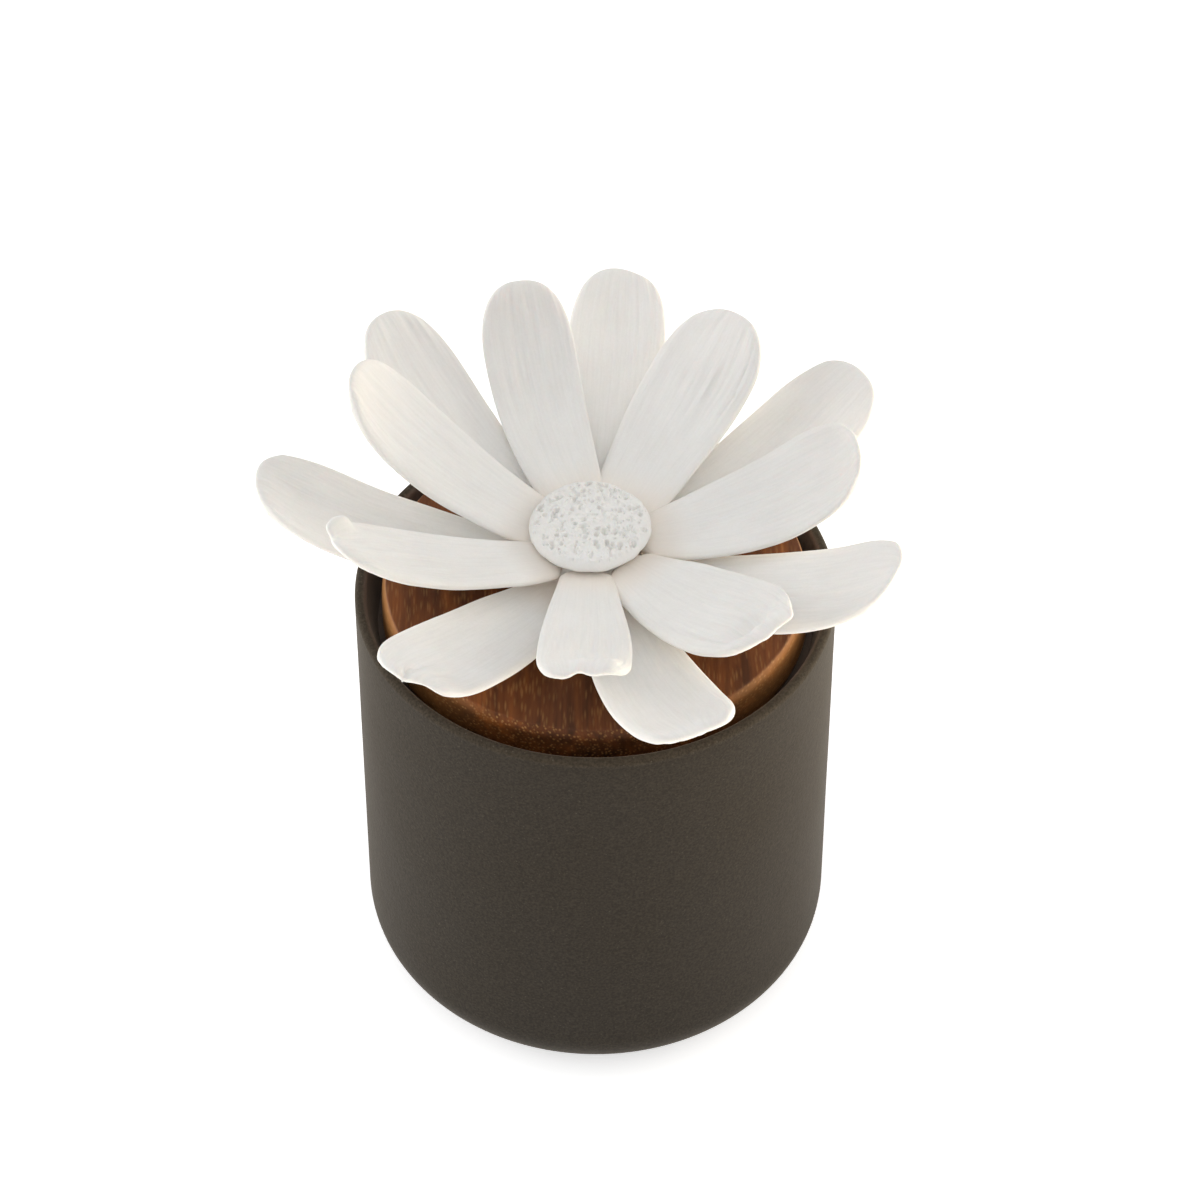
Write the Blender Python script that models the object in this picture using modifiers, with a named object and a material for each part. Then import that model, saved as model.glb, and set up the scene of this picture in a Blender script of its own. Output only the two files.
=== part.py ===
"""Flower diffuser: a stoneware pot with an inset wooden lid and a clay flower fed by a wick.

Units are metres, +Z is up. The origin is the centre of the pot's flat foot, and every
turned piece shares the pot's axis. +Y is the back of the object.
"""

import math

import bmesh
import bpy
from mathutils import Matrix, Vector

MM = 0.001
FIT_GAP = 0.3 * MM          # clearance left between pieces that touch
MERGE = 0.00005             # welding distance of the turned shapes
ROUND_STEPS = 48            # facets around the pot and the lid
SMALL_STEPS = 24            # facets around the small turned pieces
SMOOTH_ANGLE = math.radians(40)

# Pot
POT_RADIUS = 40 * MM
POT_HEIGHT = 82.5 * MM
RIM_WALL = 1.9 * MM         # across the rounded lip
RIM_DRAFT = 1.6 * MM        # how far the wall leans in between the lip and the ledge
FOOT_RADIUS = 24 * MM
CORNER_HEIGHT = 11.8 * MM
CORNER_POWER = 2.2          # a superellipse a little squarer than an ellipse
FLOOR_THICKNESS = 4.5 * MM
WELL_RADIUS = 36.2 * MM     # the oil well below the neck
WELL_CORNER = 11 * MM
NECK_RADIUS = 33 * MM
NECK_BOTTOM = 69.8 * MM
LEDGE_HEIGHT = 75.2 * MM    # the inner ledge that carries the lid

# Lid: a disc with a plug under it
LID_RADIUS = 35.5 * MM
LID_TOP = 84.8 * MM
LID_UNDERSIDE = LEDGE_HEIGHT + FIT_GAP
LID_TOP_EDGE = 34.8 * MM    # where the flat top meets the bulging side
LID_BELLY = 81 * MM         # height at which the bulging side is widest
PLUG_RADIUS = 32.3 * MM
PLUG_BOTTOM = 69.5 * MM
GROOVE_RADIUS = 30.8 * MM
GROOVE_BOTTOM = 71.4 * MM
GROOVE_TOP = 74 * MM
LID_BORE = 4.4 * MM

# Seal, bush and wick
SEAL_OUTER = 32.65 * MM
SEAL_INNER = GROOVE_RADIUS + FIT_GAP
BUSH_OUTER = LID_BORE - FIT_GAP
BUSH_FLANGE = 6.5 * MM
BUSH_FLANGE_THICKNESS = 1.3 * MM
BUSH_TOP = 84 * MM
WICK_RADIUS = 2.5 * MM
WICK_BOTTOM = 8 * MM
WICK_BORE = WICK_RADIUS + FIT_GAP

# Flower
HUB_BOTTOM = LID_TOP + FIT_GAP
HUB_FLANGE = 9 * MM
HUB_FLANGE_TOP = 86.4 * MM
HUB_RADIUS = 7.1 * MM
HUB_TOP = 94.3 * MM
SOCKET_TOP = 90.5 * MM
DISC_RADIUS = 10 * MM
DISC_BOTTOM = HUB_TOP + 0.4 * MM
DISC_TOP = 97.8 * MM
DISC_OFFSET = (-0.9 * MM, 0.4 * MM)     # the hand-set disc sits a little off the axis

PETAL_ROOT_RADIUS = 7.3 * MM    # the rounded root ends about 0.3 mm off the hub
PETAL_THICKNESS = 2.2 * MM
PETAL_CUP = 0.9 * MM        # how far the long edges stand above the middle line
UPPER_ROOT = 92.6 * MM
LOWER_ROOT = 88.2 * MM
# Half width along a petal, as a share of its greatest half width
PETAL_OUTLINE = (
    (0.0, 0.28), (0.075, 0.42), (0.15, 0.53), (0.35, 0.79), (0.55, 0.94), (0.75, 0.97), (0.9, 0.85), (1.0, 0.57)
)
TIP_ADVANCE = 1.8 * MM      # how far the middle of the tip reaches beyond its corners

# One row for each petal, counter-clockwise seen from above: heading of the petal in
# degrees from +X, length and width in mm, mean rise above the horizontal, how much it
# curls up between root and tip, roll about its own line, and sideways bend, in degrees.
UPPER_PETALS = (
    (8.5, 39, 20, 21, 44, 0, 0),
    (59, 41, 20.5, 19, 40, -12, -10),
    (106, 42.5, 15.5, 24, 52, -2, -14),
    (159, 42, 19, 33, 46, 8, 2),
    (206, 41.5, 15.5, 26, 32, 5, 3),
    (267.5, 41.5, 15, 23, 24, -4, 2),
    (310, 38, 18.5, 20, 26, 9, -3),
)
LOWER_PETALS = (
    (33, 48, 18.5, 17, 40, 0, -2),
    (85.5, 50.5, 17, 15, 33, 2, 1),
    (134, 48.5, 17, 25, 42, 3, -13),
    (177.5, 50.5, 18.5, 19, 40, 1, -2),
    (234, 46, 17.5, 19, 34, -7, 12),
    (287, 50, 17.5, 17.5, 32, 1, 12),
    (336.5, 47.5, 19, 20.5, 38, 4, 3),
)


def clear_scene():
    for leftover in list(bpy.data.objects):
        bpy.data.objects.remove(leftover, do_unlink=True)


def new_collection(name):
    collection = bpy.data.collections.new(name)
    bpy.context.scene.collection.children.link(collection)
    return collection


def material(name, colour, roughness, metallic=0.0):
    made = bpy.data.materials.new(name)
    made.use_nodes = True
    shader = made.node_tree.nodes["Principled BSDF"]
    shader.inputs["Base Color"].default_value = (*colour, 1.0)
    shader.inputs["Roughness"].default_value = roughness
    shader.inputs["Metallic"].default_value = metallic
    return made


def add_object(name, mesh, finish, parent=None):
    """Put a mesh in the object's collection; its parent is an empty on its axis."""
    placed = bpy.data.objects.new(name, mesh)
    PARTS.objects.link(placed)
    mesh.materials.append(finish)
    if parent is not None:
        placed.parent = parent
    return placed


def add_empty(name, height, parent=None):
    """An empty on the pot's axis at a world height, which a moving body hangs on."""
    empty = bpy.data.objects.new(name, None)
    PARTS.objects.link(empty)
    empty.empty_display_size = 10 * MM
    level = height
    if parent is not None:
        empty.parent = parent
        level = height - HEIGHTS[parent.name]
    empty.location = (0, 0, level)
    HEIGHTS[name] = height
    return empty


def turned(name, profile, finish, steps, parent=None, closed=False):
    """Turn a profile of (radius, world height) points about the pot's axis.

    The profile runs down its outer side. An open profile starts and ends on the axis.
    """
    base = HEIGHTS[parent.name] if parent is not None else 0.0
    mesh = bpy.data.meshes.new(name)
    points = [(radius, 0.0, height - base) for radius, height in profile]
    edges = [(i, i + 1) for i in range(len(points) - 1)]
    if closed:
        edges.append((len(points) - 1, 0))
    mesh.from_pydata(points, edges, [])
    placed = add_object(name, mesh, finish, parent)
    screw = placed.modifiers.new("Turn", "SCREW")
    screw.axis = "Z"
    screw.angle = 2 * math.pi
    screw.steps = steps
    screw.render_steps = steps
    screw.use_merge_vertices = True
    screw.merge_threshold = MERGE
    screw.use_smooth_shade = True
    return placed


def arc(centre, radii, start, end, count):
    """Points of an elliptical arc, angles in degrees, ends included."""
    points = []
    for i in range(count + 1):
        angle = math.radians(start + (end - start) * i / count)
        points.append((centre[0] + radii[0] * math.cos(angle), centre[1] + radii[1] * math.sin(angle)))
    return points


def soft_corner(count):
    """The pot's lower outside corner, from the wall down to the foot."""
    width = POT_RADIUS - FOOT_RADIUS
    points = []
    for i in range(count + 1):
        angle = 0.5 * math.pi * i / count
        across = math.cos(angle) ** (2 / CORNER_POWER)
        down = math.sin(angle) ** (2 / CORNER_POWER)
        points.append((FOOT_RADIUS + width * across, CORNER_HEIGHT * (1 - down)))
    return points


def pot():
    lip = RIM_WALL / 2
    inner = POT_RADIUS - RIM_WALL
    slope = WELL_RADIUS - NECK_RADIUS
    well_top = NECK_BOTTOM - slope
    floor = FLOOR_THICKNESS
    profile = [(0, floor)]
    profile += arc((WELL_RADIUS - WELL_CORNER, floor + WELL_CORNER), (WELL_CORNER, WELL_CORNER), -90, 0, 5)
    profile += [(WELL_RADIUS, well_top), (NECK_RADIUS, NECK_BOTTOM), (NECK_RADIUS, LEDGE_HEIGHT - lip / 3)]
    profile += [(NECK_RADIUS + lip / 3, LEDGE_HEIGHT), (inner - RIM_DRAFT, LEDGE_HEIGHT)]
    profile += arc((POT_RADIUS - lip, POT_HEIGHT - lip), (lip, lip), 180, 0, 8)
    profile += soft_corner(8)
    profile += [(0, 0)]
    turned("pot", profile, STONEWARE, ROUND_STEPS)


def lid(parent):
    """A disc with a crisp top edge and a gently bulging side, and the plug below it."""
    edge = 0.3 * MM
    foot_round = 2 * MM
    chamfer = 0.8 * MM
    start = 60              # degrees; the bulge is the last part of a quarter ellipse
    bulge = (LID_RADIUS - LID_TOP_EDGE) / (1 - math.cos(math.radians(start)))
    rise = (LID_TOP - edge - LID_BELLY) / math.sin(math.radians(start))
    profile = [(LID_BORE, LID_TOP), (LID_TOP_EDGE - edge, LID_TOP)]
    profile += arc((LID_RADIUS - bulge, LID_BELLY), (bulge, rise), start, 0, 4)
    profile += arc(
        (LID_RADIUS - foot_round, LID_UNDERSIDE + foot_round), (foot_round, foot_round), 0, -90, 3
    )
    profile += [(PLUG_RADIUS, LID_UNDERSIDE), (PLUG_RADIUS, GROOVE_TOP), (GROOVE_RADIUS, GROOVE_TOP)]
    profile += [(GROOVE_RADIUS, GROOVE_BOTTOM), (PLUG_RADIUS, GROOVE_BOTTOM)]
    profile += [(PLUG_RADIUS, PLUG_BOTTOM + chamfer), (PLUG_RADIUS - chamfer, PLUG_BOTTOM)]
    profile += [(LID_BORE, PLUG_BOTTOM)]
    turned("lid", profile, ACACIA, ROUND_STEPS, parent, closed=True)


def lid_seal(parent):
    """A ring with two lips that wipe the neck of the pot."""
    low = GROOVE_BOTTOM + FIT_GAP
    high = GROOVE_TOP - FIT_GAP
    middle = (low + high) / 2
    lip = 0.5 * MM
    back = SEAL_OUTER - 0.7 * MM
    profile = [(SEAL_INNER, high), (back, high), (SEAL_OUTER, high - lip), (back, middle)]
    profile += [(SEAL_OUTER, low + lip), (back, low), (SEAL_INNER, low)]
    turned("lid_seal", profile, SILICONE, ROUND_STEPS, parent, closed=True)


def wick_bush(parent):
    flange_top = PLUG_BOTTOM - FIT_GAP
    flange_bottom = flange_top - BUSH_FLANGE_THICKNESS
    profile = [(WICK_BORE, BUSH_TOP), (BUSH_OUTER, BUSH_TOP), (BUSH_OUTER, flange_top)]
    profile += [(BUSH_FLANGE, flange_top), (BUSH_FLANGE, flange_bottom), (WICK_BORE, flange_bottom)]
    turned("wick_bush", profile, NYLON, SMALL_STEPS, parent, closed=True)


def wick(parent):
    """A straight stick of pressed cotton fibre from the oil well up into the hub."""
    length = SOCKET_TOP - FIT_GAP - WICK_BOTTOM
    shape = bmesh.new()
    bmesh.ops.create_cone(
        shape, cap_ends=True, segments=16, radius1=WICK_RADIUS, radius2=WICK_RADIUS, depth=length
    )
    centre = WICK_BOTTOM + length / 2 - HEIGHTS[parent.name]
    shape.transform(Matrix.Translation((0, 0, centre)))
    mesh = bpy.data.meshes.new("wick")
    shape.to_mesh(mesh)
    shape.free()
    mesh.shade_smooth()
    mesh.set_sharp_from_angle(angle=SMOOTH_ANGLE)
    placed = add_object("wick", mesh, COTTON, parent)
    bevel = placed.modifiers.new("Soft ends", "BEVEL")
    bevel.width = 0.4 * MM
    bevel.segments = 1
    bevel.limit_method = "ANGLE"
    bevel.angle_limit = math.radians(60)


def flower_receptacle(parent):
    """The hub: a flange that stands on the lid, a post for the petals, a socket for the wick."""
    edge = 0.4 * MM
    profile = [(0, HUB_TOP), (HUB_RADIUS - edge, HUB_TOP), (HUB_RADIUS, HUB_TOP - edge)]
    profile += [(HUB_RADIUS, HUB_FLANGE_TOP + edge), (HUB_FLANGE - edge, HUB_FLANGE_TOP)]
    profile += [(HUB_FLANGE, HUB_FLANGE_TOP - edge), (HUB_FLANGE, HUB_BOTTOM)]
    profile += [(WICK_BORE, HUB_BOTTOM), (WICK_BORE, SOCKET_TOP), (0, SOCKET_TOP)]
    turned("flower_receptacle", profile, CLAY, SMALL_STEPS, parent)


def flower_disc(parent):
    """The round centre of the flower: a low dome with a soft rolled edge."""
    edge_height = 1.4 * MM
    crown = 0.6 * MM        # how far the dome falls from its middle to its shoulder
    dome_radius = DISC_RADIUS - 1.3 * MM
    shoulder = DISC_BOTTOM + edge_height
    profile = []
    for share in (0, 0.35, 0.7, 1):
        profile.append((dome_radius * share, DISC_TOP - crown * share * share))
    roll = (DISC_RADIUS - dome_radius, DISC_TOP - crown - shoulder)
    profile += arc((dome_radius, shoulder), roll, 60, 0, 3)
    profile += arc((dome_radius, shoulder), (roll[0], edge_height), -30, -90, 2)
    profile += [(0, DISC_BOTTOM)]
    disc = turned("flower_disc", profile, CLAY, 2 * SMALL_STEPS, parent)
    disc.location.x, disc.location.y = DISC_OFFSET


def smooth_step(value):
    clamped = min(max(value, 0.0), 1.0)
    return clamped * clamped * (3 - 2 * clamped)


def petal_mesh(name, row, root_height):
    """A coarse sheet, three points wide, laid along the petal's curved middle line."""
    heading, length, width, rise, curl, roll, bend = row
    length *= MM
    half_width = width / 2 * MM
    samples = 40
    forward = Vector((math.cos(math.radians(heading)), math.sin(math.radians(heading)), 0))
    point = forward * PETAL_ROOT_RADIUS + Vector((0, 0, root_height))
    stations = {}
    for i in range(samples + 1):
        along = i / samples
        pitch = math.radians(rise + curl * (along - 0.5))
        yaw = math.radians(heading + bend * (along - 0.5))
        line = Vector((math.cos(pitch) * math.cos(yaw), math.cos(pitch) * math.sin(yaw), math.sin(pitch)))
        side = Vector((-math.sin(yaw), math.cos(yaw), 0))
        if i > 0:
            point = point + line * (length / samples)
        stations[i] = (point.copy(), line, side)

    shape = bmesh.new()
    rows = []
    for along, share in PETAL_OUTLINE:
        point, line, side = stations[round(along * samples)]
        ease = smooth_step(along / 0.35)
        turn = Matrix.Rotation(math.radians(roll) * ease, 3, line)
        across = turn @ side
        normal = line.cross(across)
        reach = half_width * share
        lift = PETAL_CUP * share * share * ease
        advance = line * (TIP_ADVANCE if along == 1.0 else 0.0)
        rows.append([
            shape.verts.new(point + across * reach + normal * lift),
            shape.verts.new(point + advance),
            shape.verts.new(point - across * reach + normal * lift),
        ])
    for near, far in zip(rows, rows[1:]):
        for i in range(2):
            shape.faces.new((near[i], near[i + 1], far[i + 1], far[i]))
    mesh = bpy.data.meshes.new(name)
    shape.to_mesh(mesh)
    shape.free()
    return mesh


def petal(name, row, root_height, parent):
    mesh = petal_mesh(name, row, root_height - HEIGHTS[parent.name])
    mesh.shade_smooth()
    placed = add_object(name, mesh, CLAY, parent)
    thicken = placed.modifiers.new("Thickness", "SOLIDIFY")
    thicken.thickness = PETAL_THICKNESS
    thicken.offset = 0.0
    soften = placed.modifiers.new("Rounded form", "SUBSURF")
    soften.levels = 1
    soften.render_levels = 1


def petals(parent):
    for i, row in enumerate(UPPER_PETALS):
        petal("petal_upper_%d" % (i + 1), row, UPPER_ROOT, parent)
    for i, row in enumerate(LOWER_PETALS):
        petal("petal_lower_%d" % (i + 1), row, LOWER_ROOT, parent)


clear_scene()
PARTS = new_collection("flower_diffuser")
HEIGHTS = {}

STONEWARE = material("stoneware", (0.055, 0.045, 0.038), 0.85)
ACACIA = material("acacia", (0.16, 0.055, 0.022), 0.5)
SILICONE = material("silicone", (0.75, 0.76, 0.76), 0.35)
NYLON = material("nylon", (0.7, 0.68, 0.62), 0.45)
COTTON = material("cotton", (0.78, 0.74, 0.66), 0.95)
CLAY = material("white_clay", (0.8, 0.78, 0.75), 0.9)

pot()
seal_axis = add_empty("lid_lift_axis", LEDGE_HEIGHT)
lid_axis = add_empty("lid_turn_axis", LEDGE_HEIGHT, seal_axis)
wick_axis = add_empty("flower_lift_axis", LID_TOP, lid_axis)
flower_axis = add_empty("flower_turn_axis", LID_TOP, wick_axis)
lid_seal(seal_axis)
lid(lid_axis)
wick_bush(lid_axis)
wick(wick_axis)
flower_receptacle(flower_axis)
flower_disc(flower_axis)
petals(flower_axis)
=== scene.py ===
"""Looks of the flower diffuser: stoneware pot, acacia lid, porcelain clay flower on a wick."""
import math

import bpy
import numpy as np
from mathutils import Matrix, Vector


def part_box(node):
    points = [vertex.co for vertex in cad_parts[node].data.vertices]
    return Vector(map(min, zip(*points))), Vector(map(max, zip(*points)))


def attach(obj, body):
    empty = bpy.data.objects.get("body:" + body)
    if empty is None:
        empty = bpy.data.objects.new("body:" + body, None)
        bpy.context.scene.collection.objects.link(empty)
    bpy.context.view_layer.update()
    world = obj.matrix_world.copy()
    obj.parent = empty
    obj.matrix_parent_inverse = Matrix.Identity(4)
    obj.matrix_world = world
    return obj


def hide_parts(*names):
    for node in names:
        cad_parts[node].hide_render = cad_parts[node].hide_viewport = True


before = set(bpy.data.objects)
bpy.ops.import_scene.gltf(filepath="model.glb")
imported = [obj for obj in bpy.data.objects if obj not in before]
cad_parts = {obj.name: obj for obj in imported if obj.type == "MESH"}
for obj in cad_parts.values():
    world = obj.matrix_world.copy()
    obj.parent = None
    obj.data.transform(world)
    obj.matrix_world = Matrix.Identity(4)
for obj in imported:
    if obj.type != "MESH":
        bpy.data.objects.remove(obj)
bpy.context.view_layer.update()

MM = 0.001

# ---------------------------------------------------------------- places read from the frame

POT_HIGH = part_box("pot")[1]
LID_LOW, LID_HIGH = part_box("lid")
SEAL_LOW, SEAL_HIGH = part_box("lid_seal")
BUSH_LOW, BUSH_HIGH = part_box("wick_bush")
WICK_LOW, WICK_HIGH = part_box("wick")
HUB_LOW, HUB_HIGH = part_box("flower_receptacle")
DISC_LOW, DISC_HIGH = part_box("flower_disc")

POT_RADIUS = POT_HIGH.x
POT_HEIGHT = POT_HIGH.z
LID_RADIUS = LID_HIGH.x
LID_TOP = LID_HIGH.z
FIT_GAP = 0.3 * MM


# ---------------------------------------------------------------- noise and small formulas

def smooth_step(value):
    value = np.clip(value, 0.0, 1.0)
    return value * value * (3 - 2 * value)


def bump_at(value, centre, width):
    """A soft hump of height 1 around centre."""
    return np.exp(-((value - centre) / width) ** 2)


class Noise:
    """Smooth lattice noise between about -1 and 1, the same on every run."""

    TABLE = 4096                # a power of two, so that a mask wraps an index

    def __init__(self, seed):
        draw = np.random.default_rng(seed)
        self.values = draw.uniform(-1, 1, self.TABLE)
        self.order = draw.permutation(self.TABLE)

    def corner(self, x, y, z):
        """The lattice's own value at a whole-numbered point."""
        last = self.TABLE - 1
        index = self.order[x & last]
        index = self.order[(index + y) & last]
        index = self.order[(index + z) & last]
        return self.values[index]

    def at(self, points):
        """Noise at an array of points, one lattice cell for each unit of length."""
        points = np.asarray(points, float)
        cell = np.floor(points).astype(int)
        part = points - cell
        part = part * part * (3 - 2 * part)
        total = 0.0
        for dx in (0, 1):
            for dy in (0, 1):
                for dz in (0, 1):
                    weight = 1.0
                    for axis, step in enumerate((dx, dy, dz)):
                        share = part[..., axis]
                        weight = weight * (share if step else 1 - share)
                    total = total + weight * self.corner(
                        cell[..., 0] + dx, cell[..., 1] + dy, cell[..., 2] + dz
                    )
        return total

    def layers(self, points, octaves=3):
        """Noise with finer and fainter layers on top, each half the size of the one before."""
        total = 0.0
        for i in range(octaves):
            total = total + self.at(points * 2 ** i + 17.0 * i) / 2 ** i
        return total


# ---------------------------------------------------------------- mesh helpers

SMOOTH_ANGLE = math.radians(50)     # sharper edges than this stay sharp


def add_mesh(name, points, faces, finish, smooth_angle=SMOOTH_ANGLE, uv=None):
    """Make an object from points and faces, with an optional UV pair for each point."""
    mesh = bpy.data.meshes.new(name)
    mesh.from_pydata([tuple(p) for p in points], [], faces)
    mesh.validate()
    if uv is not None:
        layer = mesh.uv_layers.new(name="UVMap")
        corner = np.empty(len(mesh.loops), np.int32)
        mesh.loops.foreach_get("vertex_index", corner)
        layer.data.foreach_set("uv", np.asarray(uv, np.float32)[corner].ravel())
    mesh.shade_smooth()
    mesh.set_sharp_from_angle(angle=smooth_angle)
    mesh.materials.append(finish)
    placed = bpy.data.objects.new(name, mesh)
    bpy.context.scene.collection.objects.link(placed)
    return placed


def lathe(name, profile, steps, finish, closed=False, shape=None, smooth_angle=SMOOTH_ANGLE):
    """Turn (radius, height) points about Z, down the outer side. shape may move the points."""
    profile = np.array(profile, float)
    on_axis = profile[:, 0] == 0
    angle = 2 * math.pi * np.arange(steps) / steps
    points = []
    rows = []
    for (radius, height), single in zip(profile, on_axis):
        rows.append((len(points), single))
        if single:
            points.append((0.0, 0.0, height))
        else:
            points += zip(radius * np.cos(angle), radius * np.sin(angle), np.full(steps, height))
    faces = []
    pairs = list(zip(rows, rows[1:]))
    if closed:
        pairs.append((rows[-1], rows[0]))
    for (upper, upper_single), (lower, lower_single) in pairs:
        for i in range(steps):
            j = (i + 1) % steps
            if upper_single:
                faces.append((upper, lower + i, lower + j))
            elif lower_single:
                faces.append((upper + j, upper + i, lower))
            else:
                faces.append((upper + j, upper + i, lower + i, lower + j))
    points = np.array(points)
    if shape is not None:
        points = shape(points)
    return add_mesh(name, points, faces, finish, smooth_angle)


def arc(centre, radii, start, end, count):
    """Points of an elliptical arc, angles in degrees, ends included."""
    angle = np.radians(np.linspace(start, end, count + 1))
    return list(zip(centre[0] + radii[0] * np.cos(angle), centre[1] + radii[1] * np.sin(angle)))


def line(start, end, count):
    """Points from start to end, without either end."""
    share = np.arange(1, count)[:, None] / count
    return [tuple(p) for p in np.array(start) + (np.array(end) - np.array(start)) * share]


# ---------------------------------------------------------------- materials

class Nodes:
    """Short names for building one material's node tree."""

    def __init__(self, name):
        self.material = bpy.data.materials.new(name)
        self.material.use_nodes = True
        self.tree = self.material.node_tree
        self.shader = self.tree.nodes["Principled BSDF"]
        self.place = self.new("TexCoord").outputs["Object"]

    def new(self, kind, **settings):
        """Add a shader node, with its own settings."""
        node = self.tree.nodes.new("ShaderNode" + kind)
        for key, value in settings.items():
            setattr(node, key, value)
        return node

    def link(self, source, target):
        self.tree.links.new(source, target)

    def put(self, node, **values):
        """Set or link a node's inputs by name; an underscore stands for a space."""
        for key, value in values.items():
            socket = node.inputs[key.replace("_", " ")]
            if isinstance(value, bpy.types.NodeSocket):
                self.link(value, socket)
            else:
                socket.default_value = value
        return node

    def scaled(self, scale, source=None):
        """Object coordinates in metres times a scale for each axis."""
        node = self.new("Mapping")
        self.put(node, Vector=source or self.place, Scale=scale)
        return node.outputs["Vector"]

    def noise(self, scale, vector=None, detail=3.0, rough=0.55):
        """Cloudy noise between 0 and 1; scale is in cycles a metre."""
        node = self.new("TexNoise")
        self.put(node, Vector=vector or self.place, Scale=scale, Detail=detail, Roughness=rough)
        return node.outputs["Fac"]

    def cells(self, scale, vector=None):
        """Distance to the nearest of many scattered points, about scale of them a metre."""
        node = self.new("TexVoronoi")
        self.put(node, Vector=vector or self.place, Scale=scale)
        return node.outputs["Distance"]

    def axis(self, name, source=None):
        """One coordinate, X, Y or Z, of the object coordinates or of another vector."""
        node = self.new("SeparateXYZ")
        self.put(node, Vector=source or self.place)
        return node.outputs[name]

    def ease(self, value, start, end, low=0.0, high=1.0, curve="SMOOTHSTEP"):
        """Go from low to high while value goes from start to end."""
        node = self.new("MapRange", interpolation_type=curve)
        self.put(node, Value=value, From_Min=start, From_Max=end, To_Min=low, To_Max=high)
        return node.outputs[0]

    def ramp(self, value, stops):
        """stops: (position, colour) with colours as three numbers, or one for grey."""
        node = self.new("ValToRGB")
        band = node.color_ramp
        while len(band.elements) < len(stops):
            band.elements.new(0.5)
        for element, (position, colour) in zip(band.elements, stops):
            element.position = position
            rgb = colour if isinstance(colour, tuple) else (colour, colour, colour)
            element.color = (*rgb, 1.0)
        self.link(value, node.inputs["Fac"])
        return node.outputs["Color"]

    def mix(self, share, first, second, mode="MIX"):
        """Blend two colours. The node has a set of inputs for each type; 6 and 7 are the colours."""
        node = self.new("Mix", data_type="RGBA", blend_type=mode)
        sockets = (node.inputs[0], node.inputs[6], node.inputs[7])
        for socket, value in zip(sockets, (share, first, second)):
            if isinstance(value, bpy.types.NodeSocket):
                self.link(value, socket)
            elif isinstance(value, tuple):
                socket.default_value = (*value, 1.0)
            else:
                socket.default_value = value
        return node.outputs[2]

    def math(self, operation, first, second=0.5):
        node = self.new("Math", operation=operation)
        for socket, value in zip(node.inputs, (first, second)):
            if isinstance(value, bpy.types.NodeSocket):
                self.link(value, socket)
            else:
                socket.default_value = value
        return node.outputs[0]

    def bump(self, height, distance, strength, under=None):
        """A normal bumped by height, on top of the normal given as under."""
        node = self.new("Bump")
        self.put(node, Height=height, Distance=distance, Strength=strength)
        if under is not None:
            self.link(under, node.inputs["Normal"])
        return node.outputs["Normal"]

    def finish(self, colour, roughness, normal=None, **values):
        """Fill in the shader and hand the material over."""
        self.put(self.shader, Base_Color=colour, Roughness=roughness, **values)
        if normal is not None:
            self.link(normal, self.shader.inputs["Normal"])
        return self.material


def stoneware():
    """Unglazed dark stoneware: a matt grey-brown body with fine pale and dark grit."""
    n = Nodes("stoneware_matt")
    cloud = n.noise(38, detail=4, rough=0.6)
    body = n.ramp(cloud, [(0.3, (0.0248, 0.0188, 0.0123)), (0.7, (0.0306, 0.0235, 0.0155))])
    grit = n.noise(2300, detail=2, rough=0.7)
    grit_share = n.ramp(grit, [(0.36, 0.0), (0.66, 1.0)])
    gritty = n.mix(grit_share, (0.0116, 0.0085, 0.0052), (0.052, 0.0405, 0.0277))
    colour = n.mix(0.45, body, gritty)
    pale = n.ramp(n.cells(800), [(0.07, 1.0), (0.12, 0.0)])
    colour = n.mix(n.math("MULTIPLY", pale, 0.25), colour, (0.125, 0.105, 0.082))
    # Inside the lip the clay is painted paler and browner: painted light in the groove between pot and lid
    # and down the inner wall.
    away = n.new("VectorMath", operation="LENGTH")
    n.link(n.scaled((1, 1, 0)), away.inputs[0])
    height = n.axis("Z")
    inside = n.ease(away.outputs["Value"], POT_RADIUS - 1.1 * MM, POT_RADIUS - 2.1 * MM)
    above_foot = n.ease(height, 14 * MM, 20 * MM, 0.0, 0.85, "LINEAR")
    painted_groove_light = n.mix(0.3, (0.145, 0.106, 0.088), gritty)
    colour = n.mix(n.math("MULTIPLY", inside, above_foot), colour, painted_groove_light)
    # The top of the lip is painted paler: a painted highlight where the side lamps light the rim.
    lip = n.ease(height, POT_HEIGHT - 1.5 * MM, POT_HEIGHT - 0.4 * MM, 1.0, 1.6)
    colour = n.mix(1.0, colour, lip, "MULTIPLY")
    roughness = n.ramp(cloud, [(0.2, 0.66), (0.8, 0.8)])
    coarse = n.bump(n.noise(900, detail=3, rough=0.65), 0.10 * MM, 0.5)
    fine = n.bump(grit, 0.05 * MM, 0.6, coarse)
    return n.finish(colour, roughness, fine, Specular_IOR_Level=0.19, Sheen_Weight=0.10,
                    Sheen_Roughness=0.35, Sheen_Tint=(1.0, 0.86, 0.66, 1.0))


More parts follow.
